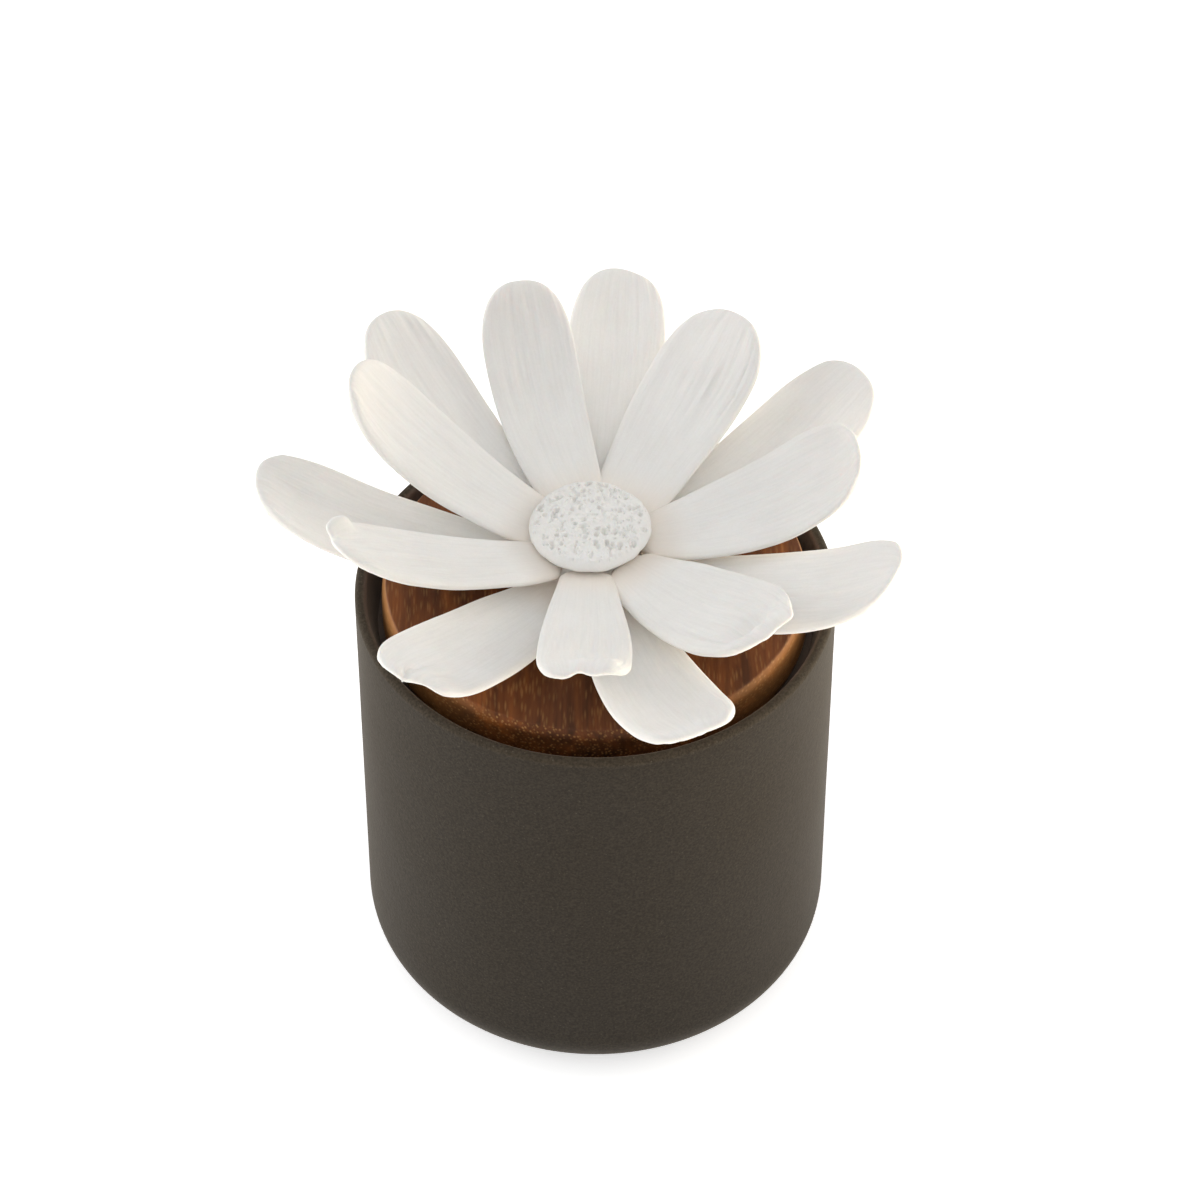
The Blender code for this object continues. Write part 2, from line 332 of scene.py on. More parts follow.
def acacia():
    """Oiled acacia. The grain runs along Y, so the rim shows end grain at front and back."""
    n = Nodes("acacia_oiled")
    wander = 14 * MM            # width of the band that a grain line strays in
    warp = n.noise(26, n.scaled((1, 0.35, 1)), detail=2)
    offset = n.new("CombineXYZ")
    n.put(offset, X=n.math("MULTIPLY", n.math("SUBTRACT", warp, 0.5), wander))
    shifted = n.new("VectorMath", operation="ADD")
    n.link(n.place, shifted.inputs[0])
    n.link(offset.outputs[0], shifted.inputs[1])
    along_grain = shifted.outputs[0]
    broad = n.noise(150, n.scaled((1, 0.05, 0.55), along_grain), detail=4, rough=0.6)
    fibre = n.noise(1400, n.scaled((1, 0.03, 0.8), along_grain), detail=3, rough=0.6)
    colour = n.ramp(broad, [(0.26, (0.050, 0.0165, 0.0056)), (0.44, (0.110, 0.0345, 0.0093)),
                            (0.58, (0.200, 0.0585, 0.0110)), (0.76, (0.320, 0.1130, 0.0240))])
    mottle = n.noise(300, n.scaled((1, 0.2, 1)), detail=3)
    colour = n.mix(1.0, colour, n.ramp(mottle, [(0.34, 0.55), (0.62, 1.12)]), "MULTIPLY")
    colour = n.mix(1.0, colour, n.ramp(fibre, [(0.3, 0.74), (0.55, 1.0), (0.75, 1.3)]), "MULTIPLY")
    # Pale sapwood at the two sides of the disc, seen on its edge only, together with painted light where
    # the side lamps catch that edge.
    height = n.axis("Z")
    on_edge = n.ease(height, LID_TOP - 0.1 * MM, LID_TOP - 0.4 * MM, curve="LINEAR")
    sapwood_and_side_light = n.ease(n.math("ABSOLUTE", n.axis("X")), 14 * MM, 35 * MM)
    pale_and_lit_edge = n.math("MULTIPLY", sapwood_and_side_light, on_edge)
    colour = n.mix(n.math("MULTIPLY", pale_and_lit_edge, 0.7), colour, (0.42, 0.185, 0.055))
    # Open vessels, filled with pale deposits: dots on end grain, dashes along the grain.
    vessels = n.cells(1850, n.scaled((1, 0.17, 1), along_grain))
    vessel = n.ramp(vessels, [(0.14, 1.0), (0.44, 0.0)])
    patch = n.ramp(n.noise(150, n.scaled((1, 0.5, 1)), detail=2), [(0.30, 0.35), (0.56, 1.0)])
    filled = n.ease(on_edge, 0.0, 1.0, 0.26, 0.60, "LINEAR")
    shown = n.math("MULTIPLY", n.math("MULTIPLY", vessel, patch), filled)
    colour = n.mix(shown, colour, (0.45, 0.23, 0.08))
    # The side is painted darker towards the groove: painted shade where the lid sinks below the pot's lip.
    painted_groove_shade = n.ease(height, POT_HEIGHT + 1.5 * MM, POT_HEIGHT - 0.6 * MM, 1.0, 0.72)
    colour = n.mix(1.0, colour, painted_groove_shade, "MULTIPLY")
    roughness = n.ramp(fibre, [(0.3, 0.58), (0.7, 0.45)])
    pore = n.bump(n.math("MULTIPLY", vessel, -1.0), 0.08 * MM, 0.4)
    normal = n.bump(fibre, 0.04 * MM, 0.5, pore)
    return n.finish(colour, roughness, normal, Specular_IOR_Level=0.24)


def clay(name, brushed):
    """Unglazed white porcelain clay: chalky, and on the petals with soft brush lines."""
    n = Nodes(name)
    cloud = n.noise(110, detail=3)
    colour = n.ramp(cloud, [(0.3, (0.840, 0.828, 0.800)), (0.7, (0.870, 0.864, 0.842))])
    powder = n.noise(2400, detail=3, rough=0.7)
    specks = n.ramp(powder, [(0.35, (0.68, 0.65, 0.61)), (0.65, (0.95, 0.94, 0.92))])
    colour = n.mix(0.08, colour, specks)
    normal = n.bump(powder, 0.04 * MM, 0.3)
    if brushed:
        uv = n.new("TexCoord").outputs["UV"]
        stroke = n.noise(1.0, n.scaled((34, 4.5, 1), uv), detail=4, rough=0.65)
        where = n.ramp(n.noise(90, detail=2), [(0.42, 0.0), (0.62, 1.0)])
        normal = n.bump(n.math("MULTIPLY", stroke, where), 0.25 * MM, 0.5, normal)
        # The brush lines are also painted a little darker in their hollows: painted shade along the
        # grooves.
        colour = n.mix(1.0, colour, n.ramp(stroke, [(0.3, 0.955), (0.6, 1.0)]), "MULTIPLY")
        # A warmer, darker tone at the root: painted shade where the petals crowd together and overlap at
        # the disc.
        root = n.ease(n.axis("Y", uv), 0.27, 0.02)
        colour = n.mix(n.math("MULTIPLY", root, 0.7), colour, (0.845, 0.755, 0.66))
    else:
        normal = n.bump(n.noise(1500, detail=4, rough=0.7), 0.10 * MM, 0.5, normal)
    roughness = n.ramp(cloud, [(0.2, 0.78), (0.8, 0.9)])
    return n.finish(colour, roughness, normal, Specular_IOR_Level=0.25, Subsurface_Weight=0.12,
                    Subsurface_Radius=(1.0, 0.55, 0.35), Subsurface_Scale=1.8 * MM)


def silicone():
    """Soft moulded silicone, milky and a little cloudy."""
    n = Nodes("silicone_milky")
    cloud = n.noise(300, detail=2)
    colour = n.ramp(cloud, [(0.3, (0.70, 0.71, 0.71)), (0.7, (0.80, 0.81, 0.81))])
    roughness = n.ramp(cloud, [(0.2, 0.32), (0.8, 0.45)])
    return n.finish(colour, roughness, n.bump(n.noise(1800), 0.03 * MM, 0.3),
                    Subsurface_Weight=0.15, Subsurface_Scale=2 * MM)


def nylon():
    """Natural nylon with a fine satin grain."""
    n = Nodes("nylon_natural")
    grain = n.noise(900, detail=3)
    colour = n.ramp(grain, [(0.3, (0.64, 0.62, 0.55)), (0.7, (0.74, 0.72, 0.66))])
    return n.finish(colour, n.ramp(grain, [(0.2, 0.4), (0.8, 0.52)]), n.bump(grain, 0.04 * MM, 0.3))


def cotton():
    """Pressed cotton fibre: long threads, amber where the oil has soaked in."""
    n = Nodes("cotton_pressed")
    thread = n.noise(2200, n.scaled((1, 1, 0.05)), detail=3, rough=0.65)
    colour = n.ramp(thread, [(0.3, (0.60, 0.55, 0.45)), (0.6, (0.82, 0.78, 0.70)),
                             (0.8, (0.9, 0.87, 0.8))])
    soaked = n.ease(n.axis("Z"), 62 * MM, 30 * MM, curve="LINEAR")
    colour = n.mix(n.math("MULTIPLY", soaked, 0.6), colour, (0.62, 0.43, 0.2))
    roughness = n.ramp(thread, [(0.2, 0.95), (0.8, 0.85)])
    return n.finish(colour, roughness, n.bump(thread, 0.15 * MM, 0.8), Sheen_Weight=0.2)


STONEWARE = stoneware()
ACACIA = acacia()
CLAY = clay("clay_petal", brushed=True)
CLAY_DISC = clay("clay_disc", brushed=False)
SILICONE = silicone()
NYLON = nylon()
COTTON = cotton()


# ---------------------------------------------------------------- pot

RIM_WALL = 1.9 * MM
RIM_DRAFT = 1.6 * MM        # how far the wall leans in between the lip and the ledge
FOOT_RADIUS = 24 * MM
CORNER_HEIGHT = 11.8 * MM
CORNER_POWER = 2.2          # of the superellipse; 2 would be a plain ellipse
FLOOR_THICKNESS = 4.5 * MM
WELL_RADIUS = 36.2 * MM
WELL_CORNER = 11 * MM
NECK_RADIUS = 33 * MM
NECK_BOTTOM = 69.8 * MM
LEDGE_HEIGHT = 75.2 * MM


def soft_corner(count):
    """The pot's lower outside corner, a superellipse from the wall down to the foot."""
    angle = 0.5 * math.pi * np.arange(count + 1) / count
    across = np.cos(angle) ** (2 / CORNER_POWER)
    down = np.sin(angle) ** (2 / CORNER_POWER)
    radius = FOOT_RADIUS + (POT_RADIUS - FOOT_RADIUS) * across
    return list(zip(radius, CORNER_HEIGHT * (1 - down)))


def make_pot():
    lip = RIM_WALL / 2
    ease = lip / 3
    lip_height = POT_HEIGHT - lip
    inner = POT_RADIUS - RIM_WALL
    wall_foot = inner - RIM_DRAFT
    well = (WELL_RADIUS - WELL_CORNER, FLOOR_THICKNESS + WELL_CORNER)
    profile = [(0, FLOOR_THICKNESS)]
    profile += arc(well, (WELL_CORNER, WELL_CORNER), -90, 0, 14)
    profile += [(WELL_RADIUS, NECK_BOTTOM - (WELL_RADIUS - NECK_RADIUS)), (NECK_RADIUS, NECK_BOTTOM)]
    profile += arc((NECK_RADIUS + ease, LEDGE_HEIGHT - ease), (ease, ease), 180, 90, 4)
    profile += arc((wall_foot - ease, LEDGE_HEIGHT + ease), (ease, ease), -90, -10, 4)
    profile += line((wall_foot, LEDGE_HEIGHT), (inner, lip_height), 8)[1:]
    profile += arc((POT_RADIUS - lip, lip_height), (lip, lip), 180, 0, 22)
    profile += line((POT_RADIUS, lip_height), (POT_RADIUS, CORNER_HEIGHT), 24)
    profile += soft_corner(28)
    profile += [(0, 0)]
    wobble = Noise(11)

    def hand_made(points):
        """Hollows of a few hundredths of a millimetre, above the flat foot only."""
        radius = np.hypot(points[:, 0], points[:, 1])
        ripple = np.minimum(wobble.layers(points * 60, 2) * 0.04 * MM, 0)
        ripple *= smooth_step((points[:, 2] - 2 * MM) / (6 * MM))
        scale = 1 + np.where(radius > 1 * MM, ripple / np.maximum(radius, 1 * MM), 0)
        points[:, :2] *= scale[:, None]
        return points

    pot = lathe("stoneware_pot", profile, 192, STONEWARE, shape=hand_made)
    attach(pot, "pot")
    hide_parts("pot")


# ---------------------------------------------------------------- lid, seal, bush and wick

LID_TOP_EDGE = LID_RADIUS - 0.7 * MM
LID_BELLY = LID_TOP - 3.8 * MM
PLUG_RADIUS = 32.3 * MM
GROOVE_RADIUS = SEAL_HIGH.x - 1.85 * MM
LID_BORE = 4.4 * MM


def make_lid():
    underside = LEDGE_HEIGHT + FIT_GAP
    groove_top = SEAL_HIGH.z + FIT_GAP
    groove_bottom = SEAL_LOW.z - FIT_GAP
    plug_bottom = LID_LOW.z
    chamfer = 0.8 * MM
    foot_round = 2 * MM
    edge = 0.3 * MM
    start = 60                  # degrees; the side's bulge is the last part of a quarter ellipse
    bulge = (LID_RADIUS - LID_TOP_EDGE) / (1 - math.cos(math.radians(start)))
    rise = (LID_TOP - edge - LID_BELLY) / math.sin(math.radians(start))
    profile = [(LID_BORE, LID_TOP)]
    profile += line((LID_BORE, LID_TOP), (LID_TOP_EDGE - edge, LID_TOP), 30)
    profile += arc((LID_TOP_EDGE - edge, LID_TOP - edge), (edge, edge), 90, 25, 5)
    profile += arc((LID_RADIUS - bulge, LID_BELLY), (bulge, rise), start - 4, 0, 14)
    profile += line((LID_RADIUS, LID_BELLY), (LID_RADIUS, underside + foot_round), 3)
    profile += arc((LID_RADIUS - foot_round, underside + foot_round), (foot_round, foot_round), 0, -90, 8)
    profile += [(PLUG_RADIUS, underside), (PLUG_RADIUS, groove_top), (GROOVE_RADIUS, groove_top)]
    profile += [(GROOVE_RADIUS, groove_bottom), (PLUG_RADIUS, groove_bottom)]
    profile += [(PLUG_RADIUS, plug_bottom + chamfer), (PLUG_RADIUS - chamfer, plug_bottom)]
    profile += [(LID_BORE, plug_bottom)]
    fibres = Noise(23)

    def planed(points):
        """Long shallow hollows left along the grain, seen on the top face only."""
        ripple = fibres.layers(points * (420, 30, 420), 2)
        on_top = smooth_step((points[:, 2] - (LID_TOP - 1.2 * MM)) / (1.2 * MM))
        points[:, 2] += (ripple - 1.5) * 0.02 * MM * on_top
        return points

    lid = lathe("acacia_lid", profile, 192, ACACIA, closed=True, shape=planed,
                smooth_angle=math.radians(30))
    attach(lid, "lid")
    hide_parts("lid")


def make_seal():
    low, high = SEAL_LOW.z, SEAL_HIGH.z
    inner = GROOVE_RADIUS + FIT_GAP
    lip = (high - low) / 4
    back = SEAL_HIGH.x - lip
    profile = [(inner, high)]
    profile += arc((back, high - lip), (lip, lip), 90, -90, 8)
    profile += arc((back, low + lip), (lip, lip), 90, -90, 8)[1:]
    profile += [(inner, low)]
    seal = lathe("silicone_seal", profile, 144, SILICONE, closed=True)
    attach(seal, "lid_seal")
    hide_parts("lid_seal")


def make_bush():
    bore = WICK_HIGH.x + FIT_GAP
    tube = LID_BORE - FIT_GAP
    flange = BUSH_HIGH.x
    thick = 1.3 * MM
    low, high = BUSH_LOW.z, BUSH_HIGH.z
    ease = 0.3 * MM
    profile = [(bore, high - ease), (bore + ease, high)]
    profile += arc((tube - ease, high - ease), (ease, ease), 90, 0, 4)
    profile += [(tube, low + thick)]
    profile += arc((flange - ease, low + thick - ease), (ease, ease), 90, 0, 4)
    profile += arc((flange - ease, low + ease), (ease, ease), 0, -90, 4)
    profile += [(bore + ease, low), (bore, low + ease)]
    bush = lathe("nylon_bush", profile, 72, NYLON, closed=True)
    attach(bush, "lid")
    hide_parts("wick_bush")


def make_wick():
    radius = WICK_HIGH.x
    low, high = WICK_LOW.z, WICK_HIGH.z
    ease = 0.5 * MM
    profile = [(0, high), (0.5 * radius, high)]
    profile += arc((radius - ease, high - ease), (ease, ease), 90, 0, 4)
    profile += line((radius, high - ease), (radius, low + ease), 90)
    profile += arc((radius - ease, low + ease), (ease, ease), 0, -90, 4)
    profile += [(0.5 * radius, low), (0, low)]
    threads = Noise(31)

    def fibrous(points):
        """Eighteen twisted threads stand out of the stick as fine ridges."""
        twist = 40              # radians a metre
        angle = np.arctan2(points[:, 1], points[:, 0]) + points[:, 2] * twist
        reach = np.hypot(points[:, 0], points[:, 1]) / radius
        ridge = np.abs(np.sin(9 * angle)) - 1
        around = np.stack([np.cos(angle) * 6, np.sin(angle) * 6, points[:, 2] * 400], -1)
        depth = (0.12 * ridge - 0.06 * (1 + threads.at(around))) * MM * smooth_step(reach)
        points[:, :2] *= (1 + depth / radius)[:, None]
        return points

    wick = lathe("cotton_wick", profile, 108, COTTON, shape=fibrous)
    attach(wick, "wick")
    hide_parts("wick")


# ---------------------------------------------------------------- flower

HUB_FLANGE_TOP = HUB_LOW.z + 1.3 * MM
HUB_RADIUS = 7.1 * MM
SOCKET_TOP = WICK_HIGH.z + FIT_GAP
PETAL_ROOT_RADIUS = 7.3 * MM
PETAL_THICKNESS = 2.2 * MM
PETAL_CUP = 0.9 * MM        # how far the long edges rise above the middle line
UPPER_ROOT = 92.6 * MM
LOWER_ROOT = 88.2 * MM
TIP_ADVANCE = 1.8 * MM      # how far the sheet runs on past the length in the tables below
ROOT_SHARE = 0.30           # half width where a petal meets the hub, as a share of the greatest
NECK_SHARE = 0.42           # the same just outside the disc, where a petal's own row says nothing
TIP_START = 0.70            # where along a petal its rounded end begins
TIP_POWER = 2.3             # of the superellipse that rounds the end
EDGE_ROLL = 2.3 * MM        # how far in from the outline the surface starts to round over
ROWS, COLUMNS = 92, 93      # of the grid over each petal, along and across

# One row for each petal, as in the CAD model: heading, length, width, rise, curl, roll, bend,
# in millimetres and degrees.
UPPER_PETALS = (
    (8.5, 39, 20, 21, 44, 0, 0),
    (59, 41, 20.5, 19, 40, -12, -10),
    (106, 42.5, 15.5, 24, 52, -2, -14),
    (159, 42, 19, 33, 46, 8, 2),
    (206, 41.5, 15.5, 26, 32, 5, 3),
    (267.5, 41.5, 15, 23, 24, -4, 2),
    (310, 38, 18.5, 20, 26, 9, -3),
)
LOWER_PETALS = (
    (33, 48, 18.5, 17, 40, 0, -2),
    (85.5, 50.5, 17, 15, 33, 2, 1),
    (134, 48.5, 17, 25, 42, 3, -13),
    (177.5, 50.5, 18.5, 19, 40, 1, -2),
    (234, 46, 17.5, 19, 34, -7, 12),
    (287, 50, 17.5, 17.5, 32, 1, 12),
    (336.5, 47.5, 19, 20.5, 38, 4, 3),
)

# The hand work on each petal. neck is the half width just outside the disc, as a share. A larger
# square gives a blunter tip and a larger taper straighter sides. slant (mm) cuts the tip at an
# angle, and root (mm) moves the root sideways. Each mark is (kind, sideways, along, reach
# sideways, reach along, mm): sideways runs from -1 to 1, anticlockwise positive, and along from
# 0 to 1. push moves the outline of the tip outwards, lift bends the sheet up, rim curls its edge
# up, and swell thickens it; push and rim work at the outline and make no use of along. Each
# crease is a groove between two (sideways, along) points, with its width and depth in mm.
HAND_WORK = {
    "upper_1": dict(neck=0.44, square=2.4, slant=0.3, marks=(
        ("rim", 0.1, 1, 0.9, 0, 1.1), ("lift", 0.1, 0.90, 0.6, 0.045, -0.35),
    )),
    "upper_2": dict(neck=0.48, square=2.25, creases=(
        ((-0.74, 0.58), (-0.80, 0.70), 0.2, 0.22), ((-0.80, 0.70), (-0.74, 0.86), 0.2, 0.22),
    )),
    "upper_3": dict(neck=0.60, square=2.5),
    "upper_4": dict(neck=0.46, square=2.3),
    "upper_5": dict(neck=0.52, square=2.3, slant=-2.0, root=0.7, marks=(
        ("push", -0.70, 1, 0.16, 0, 0.9), ("push", -0.36, 1, 0.15, 0, -1.2),
        ("lift", -0.68, 0.98, 0.2, 0.06, 1.0), ("swell", -0.68, 0.97, 0.16, 0.05, 1.4),
        ("lift", -0.34, 0.96, 0.13, 0.08, -0.7),
    ), creases=(((-0.40, 1.0), (-0.52, 0.90), 0.3, 0.4),)),
    "upper_6": dict(neck=0.60, square=4.0, taper=1.25, root=-0.8, marks=(
        ("lift", -0.75, 1, 0.22, 0.10, -0.3), ("lift", -0.08, 1, 0.20, 0.08, 1.0),
        ("lift", 0.52, 1, 0.50, 0.14, 1.5), ("rim", 0.0, 1, 1.2, 0, -0.8),
        ("push", 0.0, 1, 0.24, 0, -0.9), ("push", 0.0, 1, 2.0, 0, -0.4),
    )),
    "upper_7": dict(neck=0.50, square=1.9, slant=0.5, marks=(
        ("push", 0.44, 1, 0.15, 0, 1.3), ("push", 0.12, 1, 0.18, 0, -1.0),
        ("push", -0.30, 1, 0.36, 0, -1.5), ("push", 0.9, 1, 0.2, 0, -0.6),
        ("lift", 0.45, 1, 0.25, 0.12, 0.7), ("lift", 0.0, 0.88, 0.55, 0.045, -1.6),
        ("rim", -0.2, 1, 0.6, 0, -0.4),
    )),
    "lower_1": dict(square=2.4, marks=(
        ("push", 0.8, 1, 0.3, 0, 0.4), ("rim", 0.3, 1, 0.8, 0, 0.4),
    )),
    "lower_2": dict(square=2.5, marks=(("push", -0.35, 1, 0.3, 0, -0.5),)),
    "lower_3": dict(square=2.3),
    "lower_4": dict(square=2.3),
    "lower_5": dict(neck=0.50, square=2.6, slant=-0.6, marks=(
        ("push", 0.35, 1, 0.3, 0, -1.2), ("push", 0.0, 1, 2.0, 0, -0.6),
        ("lift", 0.35, 0.93, 0.3, 0.07, 0.6), ("lift", -0.05, 0.97, 0.12, 0.06, -0.4),
    ), creases=(
        ((0.02, 1.03), (-0.16, 0.965), 0.45, 0.9), ((-0.16, 0.965), (-0.04, 0.90), 0.4, 0.7),
    )),
    "lower_6": dict(neck=0.50, square=3.8, marks=(
        ("push", 0.0, 1, 2.0, 0, -0.8), ("push", 0.3, 1, 0.35, 0, -0.8),
        ("push", 0.95, 1, 0.25, 0, -0.8),
    )),
    "lower_7": dict(square=2.9, slant=0.8, marks=(
        ("push", 0.85, 1, 0.2, 0, 0.5), ("push", -0.7, 1, 0.4, 0, -0.7),
        ("lift", -0.35, 0.86, 0.3, 0.1, -0.5), ("rim", -0.3, 1, 0.8, 0, 0.5),
    ), creases=(((-0.12, 0.5), (-0.08, 0.85), 0.9, 0.22),)),
}


def make_hub():
    bore = WICK_HIGH.x + FIT_GAP
    flange = HUB_HIGH.x
    ease = 0.6 * MM
    profile = [(0, HUB_HIGH.z)]
    profile += line((0, HUB_HIGH.z), (HUB_RADIUS - ease, HUB_HIGH.z), 4)
    profile += arc((HUB_RADIUS - ease, HUB_HIGH.z - ease), (ease, ease), 90, 0, 5)
    profile += line((HUB_RADIUS, HUB_HIGH.z - ease), (HUB_RADIUS, HUB_FLANGE_TOP + ease), 12)
    profile += arc((HUB_RADIUS + ease, HUB_FLANGE_TOP + ease), (ease, ease), 180, 270, 4)
    profile += arc((flange - ease, HUB_FLANGE_TOP - ease), (ease, ease), 90, 0, 5)
    profile += [(flange, HUB_LOW.z), (bore, HUB_LOW.z), (bore, SOCKET_TOP), (0, SOCKET_TOP)]
    lumps = Noise(41)

    def pressed(points):
        """Shallow dents over the outside, clear of the socket and of the flat base."""
        radius = np.hypot(points[:, 0], points[:, 1])
        dent = (lumps.layers(points * 500, 3) - 1.5) * 0.08 * MM
        dent *= smooth_step((radius - 4 * MM) / (2 * MM))
        dent *= smooth_step((points[:, 2] - HUB_LOW.z) / (0.8 * MM))
        points[:, :2] *= (1 + dent / np.maximum(radius, 1 * MM))[:, None]
        return points

    hub = lathe("clay_hub", profile, 120, CLAY_DISC, shape=pressed)
    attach(hub, "flower")
    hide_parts("flower_receptacle")


def petal_plan(work, length, width):
    """The flat sheet of one petal, as arrays of rows from root to tip.

    Gives sideways and along as shares, the distance to the outline in metres, and the
    lane, which is -1 to 1 between the long edges and which the brush lines follow.
    """
    even = np.linspace(-1, 1, COLUMNS)
    lane = (0.45 * even + 0.55 * np.sin(0.5 * math.pi * even))[None, :]
    rows = np.linspace(0, 1, ROWS)
    near = 0.08                 # the rows crowd together below this, to round the root over
    rows = np.where(rows < near, near * (rows / near) ** 1.7, rows)
    reach_in = np.clip((rows - TIP_START) / (1 - TIP_START), 0, 1)
    reach_in = np.sin(0.5 * math.pi * reach_in)[:, None]
    body = np.minimum(rows, TIP_START)[:, None]
    neck = ROOT_SHARE + (work.get("neck", NECK_SHARE) - ROOT_SHARE) * smooth_step(body / 0.04)
    share = neck + (1 - neck) * np.sin(0.5 * math.pi * body / TIP_START) ** work.get("taper", 0.9)

    # The end is half a square pressed into half a disc, which keeps its cells even.
    tip_x = lane * np.sqrt(1 - reach_in ** 2 / 2)
    tip_y = reach_in * np.sqrt(1 - lane ** 2 / 2)
    power = work.get("square", TIP_POWER)
    turn = np.arctan2(tip_y, tip_x)
    squarer = (np.abs(np.cos(turn)) ** power + np.abs(np.sin(turn)) ** power) ** (-1 / power)
    stretch = 1 + (squarer - 1) * smooth_step(np.hypot(tip_x, tip_y))
    in_tip = reach_in > 0
    along = np.where(in_tip, TIP_START + (1 - TIP_START) * tip_y * stretch, body + 0 * lane)
    sideways = np.where(in_tip, tip_x * stretch, lane * share)

    gap = (1 - np.abs(lane)) * share * width
    tip_gap = np.minimum(gap, (1 - reach_in) * (1 - TIP_START) * length)
    corner_gap = np.maximum(0, 1 - np.hypot(tip_x, tip_y)) * width
    gap = np.where(in_tip, np.minimum(tip_gap, 0.5 * (tip_gap + corner_gap)), gap)
    gap = np.minimum(gap, along * length * 3)
    gap[0, :] = gap[-1, :] = 0
    gap[:, 0] = gap[:, -1] = 0

    at_tip = smooth_step((along - 0.55) / 0.45)
    shift = work.get("slant", 0) * sideways * at_tip
    for kind, v, _, wide, _, amount in work.get("marks", ()):
        if kind == "push":
            shift = shift + amount * bump_at(sideways, v, wide) * smooth_step((along - 0.72) / 0.28)
    along = along * (1 + TIP_ADVANCE / length) + shift * MM / length
    return sideways, along, gap, lane + 0 * reach_in


def petal_frame(row, root_height, along):
    """The middle line's point at each share along, and its sideways and upward directions.

    The pitch and the heading turn evenly along the petal, and the roll sets in at its root.
    """
    heading, length, _, rise, curl, roll, bend = row
    samples = 400
    beyond = 1.12               # the tables run past the tip, for the parts pushed out
    share = np.arange(samples + 1) / samples * beyond
    pitch = np.radians(rise + curl * (share - 0.5))
    yaw = np.radians(heading + bend * (share - 0.5))
    forward = np.stack([np.cos(pitch) * np.cos(yaw), np.cos(pitch) * np.sin(yaw), np.sin(pitch)], -1)
    side = np.stack([-np.sin(yaw), np.cos(yaw), 0 * yaw], -1)
    up = np.cross(forward, side)
    step = length * MM * beyond / samples
    walk = np.concatenate([[[0, 0, 0]], np.cumsum(forward[1:], 0)]) * step
    start = math.radians(heading)
    walk = walk + np.array([math.cos(start), math.sin(start), 0]) * PETAL_ROOT_RADIUS + (0, 0, root_height)
    angle = np.radians(roll) * smooth_step(share / 0.35)
    cos, sin = np.cos(angle)[:, None], np.sin(angle)[:, None]

    def sample(values):
        return np.stack([np.interp(along, share, values[:, k]) for k in range(3)], -1)

    return sample(walk), sample(cos * side + sin * up), sample(cos * up - sin * side)


def groove(flat, start, end, wide, deep):
    """Depth of a scratch between two points of the flat petal, in metres."""
    start, end = np.array(start), np.array(end)
    line_to = end - start
    share = np.clip(((flat[..., :2] - start) @ line_to) / (line_to @ line_to), 0, 1)
    away = np.linalg.norm(flat[..., :2] - (start + share[..., None] * line_to), axis=-1)
    return deep * np.exp(-(away / wide) ** 2)


def petal_bends(work, field, flat, sideways, along, gap):
    """How far the sheet is lifted off its flat plan, and how much thicker it is, in metres."""
    lift = PETAL_CUP * sideways ** 2 * smooth_step(along / 0.35)
    waves = field.layers(flat * (0.13, 0.07, 1), 2) * 0.32 * MM
    lift = lift + waves * smooth_step((along - 0.25) / 0.5)
    swell = 0.0
    for kind, v, s, wide, deep, amount in work.get("marks", ()):
        beside = amount * MM * bump_at(sideways, v, wide)
        if kind == "lift":
            lift = lift + beside * bump_at(along, s, deep)
        elif kind == "rim":
            curl = (1 - smooth_step(gap / (2.6 * MM))) * smooth_step((along - 0.62) / 0.2)
            lift = lift + beside * curl
        elif kind == "swell":
            swell = swell + beside * bump_at(along, s, deep)
    return lift, swell


def petal_relief(field, flat, lanes, along):
    """Brush lines and grain on the top and on the underside, in millimetres.

    The brush lines come and go in patches on the top, and fade towards the root.
    """
    grow = 0.35 + 0.65 * smooth_step((along - 0.3) / 0.5)
    patches = smooth_step(0.5 + field.layers(flat * (0.12, 0.08, 1) + 30, 2) * 0.9)
    strokes = field.layers(lanes * (0.85, 0.07, 1) + 5, 3) * (0.25 + 0.75 * patches) * grow * 0.21
    grain = field.at(flat * (2.2, 1.6, 1) + 90) * 0.02
    under_strokes = field.layers(lanes * (0.8, 0.08, 1) + 50, 3) * grow * 0.07
    return strokes + grain, under_strokes + grain


def petal_creases(work, flat, length, width):
    """Depth of all the petal's creases together, in metres."""
    depth = 0.0
    for start, end, wide, deep in work.get("creases", ()):
        ends = [(v * width / MM, s * length / MM) for v, s in (start, end)]
        depth = depth + groove(flat, *ends, wide, deep * MM)
    return depth


